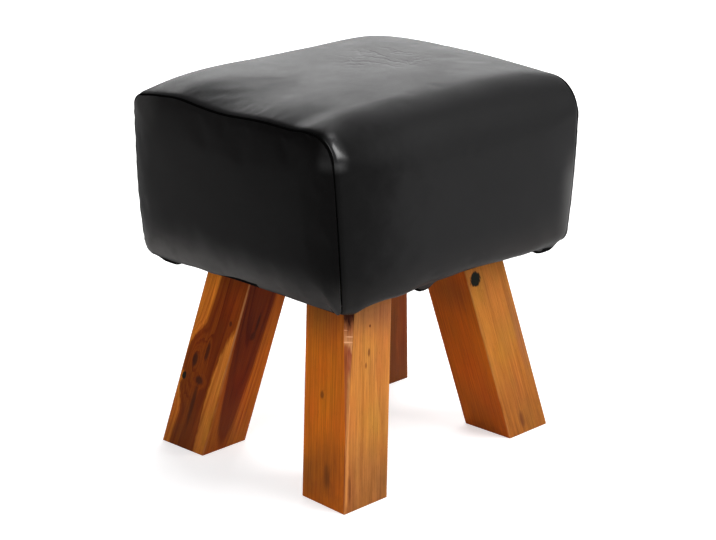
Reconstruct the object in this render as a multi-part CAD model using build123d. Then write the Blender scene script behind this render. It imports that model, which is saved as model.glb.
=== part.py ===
from build123d import *
import math
import os

# Leather stool: a padded leather seat block on four splayed square legs.
# Millimetres, +Z up. The origin is on the floor under the middle of the seat.
# The seat's length runs along X, so the two sewn end panels face -X and +X; the front faces -Y.

# Legs
leg_width = 65.0
leg_depth = 68.0
leg_edge_radius = 1.2
leg_inset_x = 67.51
leg_inset_y = 72.58
leg_lean_x_share = 0.21
leg_lean_y_share = 0.18
wane_width = 11.0
wane_length = 150.0

# The stool is made by hand, so each foot stands a little off the common centre.
foot_shares = {
    "front_left": (-0.975, -1.05),
    "front_right": (1.035, -0.945),
    "back_left": (-1.025, 0.98),
    "back_right": (0.985, 1.02),
}

# Outer form of the upholstered seat
seat_bottom = 229.0
seam_corner_height = 421.0
seam_length_bottom = 358.0
seam_length_top = 386.0
seam_depth = 321.0
side_swell = 4.0
side_bow = 2.7
shoulder_rise = 9.0
end_crown = 6.4
middle_crown = 12.0
top_edge_radius = 27.0
bottom_edge_radius = 16.0
end_dome = 9.4
station_shares = (-1.0, -0.6, 0.0, 0.6, 1.0)

# Each end panel swells from its seam in steps: share of the dome, drawn-in edge, and lifted lower edge.
dome_shares = (0.0, 0.57, 0.89, 1.0)
dome_edge = 56.0
dome_edge_shares = (0.0, 0.14, 0.43, 1.0)
dome_foot_lift = 6.0
dome_foot_shares = (0.0, 0.6, 1.0, 1.0)

# Leather cover
leather = 2.0
return_width = 40.0
return_gap = 1.0
welt_width = 3.0
welt_proud = 1.6
welt_round = 1.1

# Crate inside the seat
foam_side = 17.0
foam_end = 19.0
base_thickness = 18.0
wall_thickness = 18.0
wall_height = 130.0
top_thickness = 12.0
corner_block = 30.0

# Dust cover and its staples
dust_sheet = 0.8
dust_margin = 8.0
dust_leg_gap = 1.5
staple_margin = 8.0
staple_crown = 10.0
staple_leg = 9.0
staple_wire = 0.9
staples_long = 8
staples_short = 6
staple_span_share = 0.86

# Screws
leg_screw_diameter = 8.0
leg_screw_length = 80.0
leg_screw_head = 13.0
leg_screw_head_height = 5.5
leg_screw_spacing = 28.0
leg_screw_clearance = 0.5
washer_diameter = 20.0
washer_thickness = 1.6
wood_screw_diameter = 4.0
wood_screw_length = 40.0
wood_screw_head = 8.0
wood_screw_point_share = 0.25
long_side_screw_shares = (-0.78, -0.26, 0.26, 0.78)
short_side_screw_shares = (-0.5, 0.5)
wall_screw_shares = (0.18, 0.5, 0.82)

# Fits
fit_clearance = 0.1
foam_clearance = 0.3
overrun = 50.0

# Heights and sizes that follow
base_bottom = seat_bottom + leather
base_top = base_bottom + base_thickness
wall_top = base_top + wall_height
crate_top = wall_top + top_thickness
crate_length = seam_length_bottom - 2 * foam_end
crate_depth = seam_depth - 2 * foam_side
seam_height = seam_corner_height - seat_bottom
foot_centre_x = crate_length / 2 - leg_inset_x + leg_lean_x_share * base_bottom
foot_centre_y = crate_depth / 2 - leg_inset_y + leg_lean_y_share * base_bottom
leg_screw_grip = leg_screw_length - base_thickness - washer_thickness

UPWARD = (Align.CENTER, Align.CENTER, Align.MIN)
DOWNWARD = (Align.CENTER, Align.CENTER, Align.MAX)


def box_between(low, high):
    """A box from its low corner to its high corner."""
    size = [high[i] - low[i] for i in range(3)]
    return Pos(*low) * Box(*size, align=(Align.MIN, Align.MIN, Align.MIN))


# The seat's form

def seam_plane(share, outward=0.0):
    """Plane across the seat at a share of the way from mid length to an end seam.

    It leans with the seat's sides, which are further apart at the top. Its X is the
    stool's Y and its Y climbs the seat from the bottom.
    """
    lean = share * (seam_length_top - seam_length_bottom) / 2
    normal = Vector(seam_height, 0, -lean).normalized()
    side = 1 if share > 0 else -1
    start = Vector(share * seam_length_bottom / 2, 0, seat_bottom)
    return Plane(start + normal * (side * outward), x_dir=(0, 1, 0), z_dir=normal)


def slant(share):
    """Length along the leaning plane for each unit of height."""
    lean = share * (seam_length_top - seam_length_bottom) / 2
    return math.hypot(seam_height, lean) / seam_height


def seat_section(share, inset, outward=0.0, edge=0.0, lift=0.0):
    """Outline across the seat: flat bottom, bowed sides, rounded edges and a crowned top."""
    filled = 1 - share ** 4
    half = seam_depth / 2 + side_swell * filled - inset - edge
    low = (inset + edge + lift) * slant(share)
    high = (seam_height + shoulder_rise * filled - inset - edge) * slant(share)
    crown = end_crown + (middle_crown - end_crown) * filled
    middle = (low + high) / 2
    outline = [
        Line((-half, low), (half, low)),
        ThreePointArc((half, low), (half + side_bow, middle), (half, high)),
        ThreePointArc((half, high), (0, high + crown), (-half, high)),
        ThreePointArc((-half, high), (-half - side_bow, middle), (-half, low)),
    ]
    face = make_face(outline)
    face = fillet(face.vertices().sort_by(Axis.Y)[-2:], top_edge_radius - inset)
    face = fillet(face.vertices().sort_by(Axis.Y)[:2], bottom_edge_radius - inset)
    return seam_plane(share, outward) * face


def band_form(inset):
    """The seat between its two end seams."""
    return loft([seat_section(share, inset) for share in station_shares])


def dome_form(side, inset):
    """The cushioned swell of one end panel, outward from its seam."""
    reach = end_dome - inset
    steps = zip(dome_shares, dome_edge_shares, dome_foot_shares)
    return loft([
        seat_section(side, inset, reach * rise, dome_edge * drawn, dome_foot_lift * foot)
        for rise, drawn, foot in steps
    ])


def beyond_seam(side, inward):
    """Everything outward of a plane that lies a little inward of an end seam."""
    reach = seam_depth + seam_height + overrun
    end = Align.MIN if side > 0 else Align.MAX
    block = Box(reach, reach, reach, align=(Align.CENTER, Align.CENTER, end))
    return Location(seam_plane(side, -inward)) * block


def welt_ring(side):
    """Raised strip in an end seam, over the top and down both edges of the end panel."""
    inward = seam_plane(side).z_dir * -side
    strip = extrude(seat_section(side, -welt_proud), welt_width, dir=inward)
    strip = fillet(strip.edges().filter_by(GeomType.LINE, reverse=True), welt_round)
    strip -= extrude(seat_section(side, leather), welt_width, dir=inward)
    under = seam_depth / 2 - bottom_edge_radius
    reach = seam_length_top
    return strip - box_between((-reach, -under, 0), (reach, under, base_bottom + leather))


def welt_room(side):
    """Space behind an end seam's welt that the foam keeps clear of."""
    inward = seam_plane(side).z_dir * -side
    width = welt_width + foam_clearance
    root = leather + 2 * foam_clearance
    return extrude(seat_section(side, -welt_proud), width, dir=inward) - extrude(
        seat_section(side, root), width, dir=inward)


# Legs

def leg_axis_at(name, height):
    """Centre of a leg at a height above the floor."""
    share_x, share_y = foot_shares[name]
    x = foot_centre_x * share_x - math.copysign(leg_lean_x_share, share_x) * height
    y = foot_centre_y * share_y - math.copysign(leg_lean_y_share, share_y) * height
    return Vector(x, y, height)


def leg_post(name, grown=0.0):
    """Square post that leans in towards the seat, longer than the leg at both ends."""
    foot = leg_axis_at(name, -overrun)
    along = leg_axis_at(name, base_bottom + overrun) - foot
    across = Vector(1, 0, 0)
    across = across - along * (across.dot(along) / along.dot(along))
    section = RectangleRounded(leg_width + 2 * grown, leg_depth + 2 * grown, leg_edge_radius + grown)
    return extrude(Plane(foot, x_dir=across, z_dir=along) * section, along.length)


def leg_screw_places(name):
    """Two screws for each leg, centred where the leg's axis is at half of their depth."""
    centre = leg_axis_at(name, base_bottom - leg_screw_grip / 2)
    return [(centre.X + step * leg_screw_spacing / 2, centre.Y) for step in (-1, 1)]


def level_leg(name):
    """Leg cut level on the floor and under the base board, with its screw holes."""
    reach = 2 * (foot_centre_x + leg_width)
    leg = leg_post(name) & box_between((-reach, -reach, 0), (reach, reach, base_bottom))
    hole_depth = leg_screw_grip + leg_screw_clearance
    radius = leg_screw_diameter / 2 + fit_clearance
    for x, y in leg_screw_places(name):
        leg -= Pos(x, y, base_bottom - hole_depth) * Cylinder(radius, hole_depth + overrun, align=UPWARD)
    return leg


def waned(leg, name):
    """Take the tapering natural edge of the log off the leg's outer corner, below the seat."""
    share_x, share_y = foot_shares[name]
    side_x = math.copysign(1, share_x)
    side_y = math.copysign(1, share_y)
    corner = Vector(side_x * leg_width / 2, side_y * leg_depth / 2, 0)
    outward = Vector(side_x, side_y, 0).normalized()
    cut_top = leg_axis_at(name, base_bottom) + corner - outward * (wane_width / 2)
    cut_low = leg_axis_at(name, base_bottom - wane_length) + corner
    along = cut_top - cut_low
    normal = outward - along * (outward.dot(along) / along.dot(along))
    block = Box(4 * wane_length, leg_width, leg_width, align=UPWARD)
    return leg - Location(Plane(cut_low, x_dir=along, z_dir=normal)) * block


# Screws, washers and staples

def wood_screw(grown=0.0):
    """Countersunk screw along -Z with its head flush at Z zero."""
    head_depth = (wood_screw_head - wood_screw_diameter) / 2
    radius = wood_screw_diameter / 2 + grown
    point = wood_screw_diameter
    shank = Cylinder(radius, wood_screw_length - point, align=UPWARD)
    tip = Cone(radius * wood_screw_point_share, radius, point, align=UPWARD)
    head = Cone(radius, wood_screw_head / 2 + grown, head_depth, align=UPWARD)
    screw = Pos(0, 0, point - wood_screw_length) * shank
    return screw + Pos(0, 0, -wood_screw_length) * tip + Pos(0, 0, -head_depth) * head


def plan_screw_places():
    """Screws that hold a flat board on the crate's walls, in plan."""
    long_line = (crate_depth - wall_thickness) / 2
    short_line = (crate_length - wall_thickness) / 2
    places = [(crate_length / 2 * x, side * long_line) for side in (-1, 1) for x in long_side_screw_shares]
    places += [(side * short_line, crate_depth / 2 * y) for side in (-1, 1) for y in short_side_screw_shares]
    return places


def base_screw_locations():
    """Screws driven up through the base board into the walls."""
    return [Pos(x, y, base_bottom) * Rot(180, 0, 0) for x, y in plan_screw_places()]


def top_screw_locations():
    """Screws driven down through the top board into the walls."""
    return [Pos(x, y, crate_top) for x, y in plan_screw_places()]


def wall_screw_locations():
    """Screws driven through the front and back boards into the end boards."""
    line = (crate_length - wall_thickness) / 2
    return [
        Pos(side_x * line, side_y * crate_depth / 2, base_top + wall_height * share) * Rot(-90 * side_y, 0, 0)
        for side_x in (-1, 1) for side_y in (-1, 1) for share in wall_screw_shares
    ]


def drilled(board, locations):
    """The board with a hole for each screw."""
    for location in locations:
        board -= location * wood_screw(fit_clearance)
    return board


def staple(grown=0.0):
    """Wire staple along X that is driven up from below, its crown under Z zero."""
    wire = staple_wire + 2 * grown
    half = staple_crown / 2
    crown = box_between((-half - grown, -wire / 2, -staple_wire - grown), (half + grown, wire / 2, 0))
    solid = crown
    for side in (-1, 1):
        place = side * (half - staple_wire / 2)
        solid += box_between((place - wire / 2, -wire / 2, -staple_wire), (place + wire / 2, wire / 2, staple_leg))
    return solid


def staple_locations():
    """Rows of staples just inside the dust cover's edge."""
    x_line = crate_length / 2 - dust_margin - staple_margin
    y_line = crate_depth / 2 - dust_margin - staple_margin
    low = seat_bottom - dust_sheet
    places = []
    for side in (-1, 1):
        for i in range(staples_long):
            step = (2 * i / (staples_long - 1) - 1) * staple_span_share
            places.append(Pos(x_line * step, side * y_line, low))
        for i in range(staples_short):
            step = (2 * i / (staples_short - 1) - 1) * staple_span_share
            places.append(Pos(side * x_line, y_line * step, low) * Rot(0, 0, 90))
    return places


def stapled(sheet):
    """The sheet or board with a slot for each staple."""
    for location in staple_locations():
        sheet -= location * staple(fit_clearance)
    return sheet


# Sub-parts

parts = {}
corners = {name: (math.copysign(1, x), math.copysign(1, y)) for name, (x, y) in foot_shares.items()}
leg_screws = [place for name in foot_shares for place in leg_screw_places(name)]

# Four legs of solid wood; the front left one keeps a little of the log's natural edge.
for name in foot_shares:
    parts[f"leg_{name}"] = level_leg(name)
parts["leg_front_left"] = waned(parts["leg_front_left"], "front_left")

# Base board, which carries the legs, and the crate of boards on it.
half_x = crate_length / 2
half_y = crate_depth / 2
base_board = box_between((-half_x, -half_y, base_bottom), (half_x, half_y, base_top))
base_board = drilled(base_board, base_screw_locations())
for x, y in leg_screws:
    hole = Cylinder(leg_screw_diameter / 2 + leg_screw_clearance, 2 * base_thickness + overrun)
    base_board -= Pos(x, y, base_bottom) * hole
parts["base_board"] = stapled(base_board)

long_board = Box(crate_length, wall_thickness, wall_height, align=UPWARD)
end_board = Box(wall_thickness, crate_depth - 2 * wall_thickness, wall_height, align=UPWARD)
line_x = half_x - wall_thickness / 2
line_y = half_y - wall_thickness / 2
walls = {
    "front_board": Pos(0, -line_y, base_top) * long_board,
    "back_board": Pos(0, line_y, base_top) * long_board,
    "left_end_board": Pos(-line_x, 0, base_top) * end_board,
    "right_end_board": Pos(line_x, 0, base_top) * end_board,
}
wall_holes = base_screw_locations() + top_screw_locations() + wall_screw_locations()
for name, board in walls.items():
    parts[name] = drilled(board, wall_holes)

top_board = box_between((-half_x, -half_y, wall_top), (half_x, half_y, crate_top))
parts["top_board"] = drilled(top_board, top_screw_locations())

for name, (side_x, side_y) in corners.items():
    block = Box(corner_block, corner_block, wall_height, align=UPWARD)
    x = side_x * (half_x - wall_thickness - corner_block / 2)
    y = side_y * (half_y - wall_thickness - corner_block / 2)
    parts[f"corner_block_{name}"] = Pos(x, y, base_top) * block

parts["base_board_screws"] = Compound([location * wood_screw() for location in base_screw_locations()])
parts["top_board_screws"] = Compound([location * wood_screw() for location in top_screw_locations()])
parts["wall_screws"] = Compound([location * wood_screw() for location in wall_screw_locations()])

# Coach screws and washers that hold the legs, driven down from inside the crate.
coach_screws = []
washers = []
for x, y in leg_screws:
    seat = Pos(x, y, base_top + washer_thickness)
    shank = Cylinder(leg_screw_diameter / 2, leg_screw_length, align=DOWNWARD)
    head = extrude(RegularPolygon(leg_screw_head / 2, 6, major_radius=False), leg_screw_head_height)
    coach_screws.append(seat * (shank + head))
    disc = Cylinder(washer_diameter / 2, washer_thickness, align=DOWNWARD)
    disc -= Cylinder(leg_screw_diameter / 2 + fit_clearance, 2 * washer_thickness + overrun)
    washers.append(seat * disc)
parts["leg_coach_screws"] = Compound(coach_screws)
parts["leg_washers"] = Compound(washers)

# Foam pads round the crate, within the leather and clear of the welts.
foam_inset = leather + foam_clearance
foam = band_form(foam_inset) + dome_form(-1, foam_inset) + dome_form(1, foam_inset)
for side in (-1, 1):
    foam -= welt_room(side)
reach_x = seam_length_top + overrun
reach_y = seam_depth + overrun
reach_z = crate_top + seam_height
zones = {
    "foam_top": ((-reach_x, -reach_y, crate_top), (reach_x, reach_y, reach_z)),
    "foam_left": ((-reach_x, -reach_y, 0), (-half_x, reach_y, crate_top)),
    "foam_right": ((half_x, -reach_y, 0), (reach_x, reach_y, crate_top)),
    "foam_front": ((-half_x, -reach_y, 0), (half_x, -half_y, crate_top)),
    "foam_back": ((-half_x, half_y, 0), (half_x, reach_y, crate_top)),
}
for name, (low, high) in zones.items():
    parts[name] = foam & box_between(low, high)

# Leather band over the front, top and back, open under the seat but for the turned returns.
inner_y = seam_depth / 2 - return_width
opening = box_between((-reach_x, -inner_y, 0), (reach_x, inner_y, base_bottom))
band = band_form(0) - band_form(leather) - opening
for side in (-1, 1):
    band -= beyond_seam(side, welt_width)
parts["cover_band"] = stapled(band)

# Leather end panels with a return under the base board, and the welt along each end seam.
flap_y = inner_y - return_gap
for name, side in (("left", -1), ("right", 1)):
    panel = dome_form(side, 0) - dome_form(side, leather)
    flap_x = side * (seam_length_bottom / 2 - return_width)
    far_x = side * reach_x
    flap = box_between((min(far_x, flap_x), -flap_y, seat_bottom), (max(far_x, flap_x), flap_y, base_bottom))
    flap -= beyond_seam(side, 0)
    parts[f"cover_{name}"] = stapled(panel + flap)

    parts[f"welt_{name}"] = welt_ring(side)

# Dust cover over the underside, cut out round the legs, and the staples through it.
sheet_x = half_x - dust_margin
sheet_y = half_y - dust_margin
sheet = box_between((-sheet_x, -sheet_y, seat_bottom - dust_sheet), (sheet_x, sheet_y, seat_bottom))
for name in foot_shares:
    sheet -= leg_post(name, dust_leg_gap)
parts["dust_cover"] = stapled(sheet)
parts["cover_staples"] = Compound([location * staple() for location in staple_locations()])

os.makedirs("parts", exist_ok=True)
for name, shape in parts.items():
    export_step(shape, f"parts/{name}.step")
    print(name, len(shape.solids()), round(shape.volume / 1000, 2))
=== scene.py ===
import math

import bmesh
import bpy
from mathutils import Matrix, Vector, noise


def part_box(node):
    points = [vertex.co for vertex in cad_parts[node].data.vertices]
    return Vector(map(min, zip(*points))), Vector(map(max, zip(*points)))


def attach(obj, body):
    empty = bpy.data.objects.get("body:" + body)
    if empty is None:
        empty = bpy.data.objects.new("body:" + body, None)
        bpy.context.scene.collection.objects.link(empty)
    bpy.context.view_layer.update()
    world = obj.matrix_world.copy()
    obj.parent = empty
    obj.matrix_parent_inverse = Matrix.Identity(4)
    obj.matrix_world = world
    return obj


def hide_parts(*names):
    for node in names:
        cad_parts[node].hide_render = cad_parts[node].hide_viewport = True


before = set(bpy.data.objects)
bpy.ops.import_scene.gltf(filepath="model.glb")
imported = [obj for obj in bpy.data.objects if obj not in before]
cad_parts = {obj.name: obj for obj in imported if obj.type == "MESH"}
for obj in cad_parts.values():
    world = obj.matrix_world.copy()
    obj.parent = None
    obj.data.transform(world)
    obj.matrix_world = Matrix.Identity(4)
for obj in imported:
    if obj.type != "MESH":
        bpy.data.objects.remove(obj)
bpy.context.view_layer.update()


# Legs
# Four square posts of oiled solid hardwood, leaning in towards the seat and cut level at both ends.
# Each is its own piece of timber, so each has its own growth rings, heartwood, knots and streaks.
# Two coach screws from inside the seat hold each one.

def tree_of(values):
    """The node tree that the first socket among some values is in."""
    return next(value.id_data for value in values if isinstance(value, bpy.types.NodeSocket))


def feed(sockets, values):
    """Link or set input sockets, by their names or places."""
    for name, value in values.items():
        if isinstance(value, bpy.types.NodeSocket):
            value.id_data.links.new(value, sockets[name])
        else:
            sockets[name].default_value = value


def add(kind, inputs, **settings):
    """A node with its settings, values and links, beside the nodes that feed it."""
    made = tree_of(inputs.values()).nodes.new(kind)
    for name, value in settings.items():
        setattr(made, name, value)
    feed(made.inputs, inputs)
    return made


def maths(operation, first, *others):
    """Result of one kind of sum on numbers, taken from left to right."""
    if not others:
        return add("ShaderNodeMath", {0: first}, operation=operation).outputs[0]
    for value in others:
        first = add("ShaderNodeMath", {0: first, 1: value}, operation=operation).outputs[0]
    return first


def plus(*values):
    """Sum of numbers."""
    return maths("ADD", *values)


def minus(first, second):
    """One number less another."""
    return maths("SUBTRACT", first, second)


def times(*values):
    """Product of numbers."""
    return maths("MULTIPLY", *values)


def vectors(operation, first, second):
    """Result of one sum on two vectors."""
    return add("ShaderNodeVectorMath", {0: first, 1: second}, operation=operation).outputs[0]


def spread(vector, factors):
    """Coordinates or a colour with a factor for each axis or channel."""
    return vectors("MULTIPLY", vector, factors)


def shift(vector, offset):
    """Coordinates moved by an offset."""
    return vectors("ADD", vector, offset)


def scaled(vector, factor):
    """Coordinates or a colour with one factor for all of it."""
    return add("ShaderNodeVectorMath", {0: vector, "Scale": factor}, operation="SCALE").outputs[0]


def length(vector):
    """Length of a vector."""
    return add("ShaderNodeVectorMath", {0: vector}, operation="LENGTH").outputs["Value"]


def fade(value, start, end, low=0.0, high=1.0):
    """Smooth change from low to high as a value goes from start to end."""
    made = add("ShaderNodeMapRange", {0: value, 1: start, 2: end, 3: low, 4: high},
               interpolation_type="SMOOTHSTEP")
    return made.outputs[0]


def cloudy(vector, often, detail=2.0, rough=0.5, output=0):
    """Smooth random pattern, with the coordinates multiplied by how often it changes along each axis."""
    values = {"Vector": spread(vector, often), "Scale": 1.0, "Detail": detail, "Roughness": rough}
    return add("ShaderNodeTexNoise", values).outputs[output]


def by_radius(radius, often, detail):
    """Smooth random pattern that changes with one value only."""
    values = {"W": times(radius, often), "Scale": 1.0, "Detail": detail}
    return add("ShaderNodeTexNoise", values, noise_dimensions="1D").outputs[0]


def blend_colours(factor, first, second):
    """Two colours mixed by a factor."""
    values = {0: factor, 6: first, 7: second}
    return add("ShaderNodeMix", values, data_type="RGBA").outputs[2]


def new_group(name, inputs, outputs):
    """An empty effect with named sockets and their usual values: its tree, its inputs and its outputs."""
    tree = bpy.data.node_groups.new(name, "ShaderNodeTree")
    for label, value in inputs.items():
        kind = "Float" if isinstance(value, float) else {3: "Vector", 4: "Color"}[len(value)]
        socket = tree.interface.new_socket(label, in_out="INPUT", socket_type="NodeSocket" + kind)
        socket.default_value = value
    for label in outputs:
        kind = "Color" if label == "Color" else "Float"
        tree.interface.new_socket(label, in_out="OUTPUT", socket_type="NodeSocket" + kind)
    return tree, tree.nodes.new("NodeGroupInput").outputs, tree.nodes.new("NodeGroupOutput")


def close_group(tree, output, **results):
    """Link an effect's results to its outputs."""
    for name, value in results.items():
        tree.links.new(value, output.inputs[name.replace("_", " ")])
    return tree


def use_group(group, inputs):
    """An effect placed in a material with its own values."""
    return add("ShaderNodeGroup", inputs, node_tree=group).outputs


def new_material(name):
    """An empty material, and the place on the piece that wears it."""
    material = bpy.data.materials.new(name)
    material.use_nodes = True
    tree = material.node_tree
    return material, tree.nodes.new("ShaderNodeTexCoord").outputs["Object"]


def surface(values, height, depth, strength):
    """Give a material's shader its values, and a bump with a depth in metres."""
    bump = add("ShaderNodeBump", {"Height": height, "Distance": depth, "Strength": strength})
    feed(bump.id_data.nodes["Principled BSDF"].inputs, {**values, "Normal": bump.outputs[0]})


def dress(material, *names):
    """Give CAD nodes one material."""
    for name in names:
        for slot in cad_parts[name].material_slots:
            slot.material = material


nowhere = (0, 0, 0)

# Growth rings, fibres and pores of sawn timber. Coordinates are millimetres, with Z along the grain.
tree, given, out = new_group(
    "timber_figure",
    {"Vector": nowhere, "Pith": nowhere, "Pith Lean": nowhere, "Ring Width": 5.0, "Wander": 8.0,
     "Bend": 0.0, "Heart Radius": 0.0, "Heart Edge": 3.0, "Seed": nowhere, "Line Depth": 0.35,
     "Mottle": 0.5, "Sapwood": (0.4, 0.17, 0.04, 1), "Heartwood": (0.1, 0.02, 0.006, 1)},
    ("Color", "Roughness", "Height"))
seeded = shift(given["Vector"], given["Seed"])
slow = cloudy(seeded, (0.013, 0.013, 0.005), output="Color")
drift = scaled(shift(slow, (-0.5, -0.5, -0.5)), given["Wander"])
along_grain = add("ShaderNodeSeparateXYZ", {0: given["Vector"]}).outputs[2]
centre = shift(given["Pith"], scaled(given["Pith Lean"], along_grain))
from_pith = vectors("SUBTRACT", shift(given["Vector"], drift), centre)
radius = plus(length(spread(from_pith, (1, 1, 0))), given["Bend"])

# A dark line ends each year's ring. Some years are wide, and some lines are faint.
waver = cloudy(seeded, (0.09, 0.09, 0.008))
ring_place = plus(radius, times(waver, 2.6), times(by_radius(radius, 0.11, 1.0), 4.0))
phase = maths("FRACT", maths("DIVIDE", ring_place, given["Ring Width"]))
patchy = cloudy(seeded, (0.05, 0.05, 0.008), 1.0)
strong = fade(plus(by_radius(radius, 0.27, 2.0), patchy), 0.75, 1.2)
line = times(fade(phase, 0.3, 0.9), fade(phase, 0.9, 1.0, 1.0, 0.0), strong)

# Colour: sapwood outside and heartwood inside, with broad mottling, streaks, fibres and pores.
broad = cloudy(seeded, (0.03, 0.03, 0.014), output="Color")
streaks = cloudy(seeded, (0.16, 0.16, 0.007), 3.0, 0.6)
uneven = shift(shift(broad, streaks), (-1, -1, -1))
uneven = scaled(spread(uneven, (0.95, 1.15, 1.35)), given["Mottle"])
fibre = cloudy(seeded, (0.75, 0.75, 0.014), 4.0, 0.65)
fine = cloudy(seeded, (3.1, 3.1, 0.06), 2.0, 0.6)
pores = fade(cloudy(seeded, (1.9, 1.9, 0.11), 1.0), 0.66, 0.74)
heart = fade(radius, plus(given["Heart Radius"], given["Heart Edge"]),
             minus(given["Heart Radius"], given["Heart Edge"]))
colour = blend_colours(heart, given["Sapwood"], given["Heartwood"])
colour = spread(colour, shift(uneven, (1, 1, 1)))
ring_tint = scaled((-0.8, -1.15, -1.3), times(line, given["Line Depth"]))
colour = spread(colour, shift(ring_tint, (1, 1, 1)))
tone = times(fade(fibre, 0.25, 0.75, 0.76, 1.24), fade(fine, 0.25, 0.75, 0.92, 1.08),
             minus(1.0, times(pores, 0.35)))
rough = plus(0.42, times(minus(fibre, 0.5), 0.3))
height = minus(times(fibre, 0.5), times(pores, 0.8))
timber_figure = close_group(tree, out, Color=scaled(colour, tone), Roughness=rough, Height=height)

# A knot, hole, streak or stain round one place: 1 in its core, and a wider halo round it.
tree, given, out = new_group(
    "knot_mark",
    {"Vector": nowhere, "Place": nowhere, "Size": (4, 4, 8), "Ragged": 0.5, "Softness": 0.3},
    ("Core", "Halo"))
away = vectors("SUBTRACT", given["Vector"], given["Place"])
away = length(vectors("DIVIDE", away, given["Size"]))
torn = cloudy(given["Vector"], (0.35, 0.35, 0.12), 3.0)
torn = times(minus(torn, 0.5), given["Ragged"])
reach = plus(away, torn)
core = fade(reach, plus(1.0, given["Softness"]), minus(1.0, given["Softness"]))
knot_mark = close_group(tree, out, Core=core, Halo=fade(reach, 2.4, 0.7))

foot_centre_x = 0.141
foot_centre_y = 0.1125
leg_lean_x_share = 0.21
leg_lean_y_share = 0.18
half_thick_mm = 32.5
half_wide_mm = 34.0
arris_wide_mm = 2.4
arris_sharp_mm = 0.6
wane_top_mm = 215.0

# Each mark is a knot, a hole, a streak, a stain, a patch of painted shade under the seat, or a painted
# highlight: its place and size in millimetres from the leg's axis at the floor, how far it pushes the rings
# aside, how strongly it shows, how soft it is, and its colour.
black_knot = (0.006, 0.007, 0.004, 1)
dark_knot = (0.03, 0.007, 0.003, 1)
red_knot = (0.1, 0.02, 0.008, 1)
smudge = (0.045, 0.015, 0.005, 1)
amber = (0.56, 0.19, 0.024, 1)
brown_stain_and_shade = (0.16, 0.045, 0.01, 1)
arris_highlight = (0.4, 0.16, 0.055, 1)
raggedness = {black_knot: 1.0, amber: 0.16, arris_highlight: 0.3}
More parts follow.
